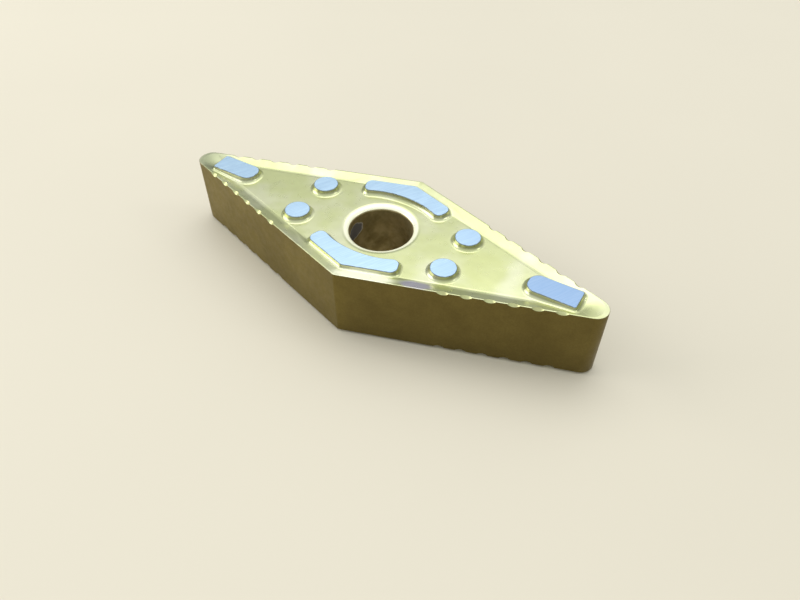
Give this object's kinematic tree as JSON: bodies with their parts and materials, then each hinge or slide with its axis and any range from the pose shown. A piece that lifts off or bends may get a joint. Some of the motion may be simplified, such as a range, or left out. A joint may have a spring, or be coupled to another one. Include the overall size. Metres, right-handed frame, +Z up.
{
  "type": "carbide turning insert",
  "caption": "Double-sided carbide turning insert: a slim rhombus with serrated cutting edges, a chip groove, ground seat pads and a round centre hole.",
  "frame": {"origin": "centre of the hole, on the plane of the lower seat pads", "axes": "+X along the long diagonal to one nose, +Y along the short diagonal, +Z up through the hole"},
  "size_m": [0.028, 0.01, 0.0048],
  "materials": {
    "gold_coat": "satin"
  },
  "bodies": {
    "root": {"insert_body": "gold_coat"}
  },
  "joints": []
}
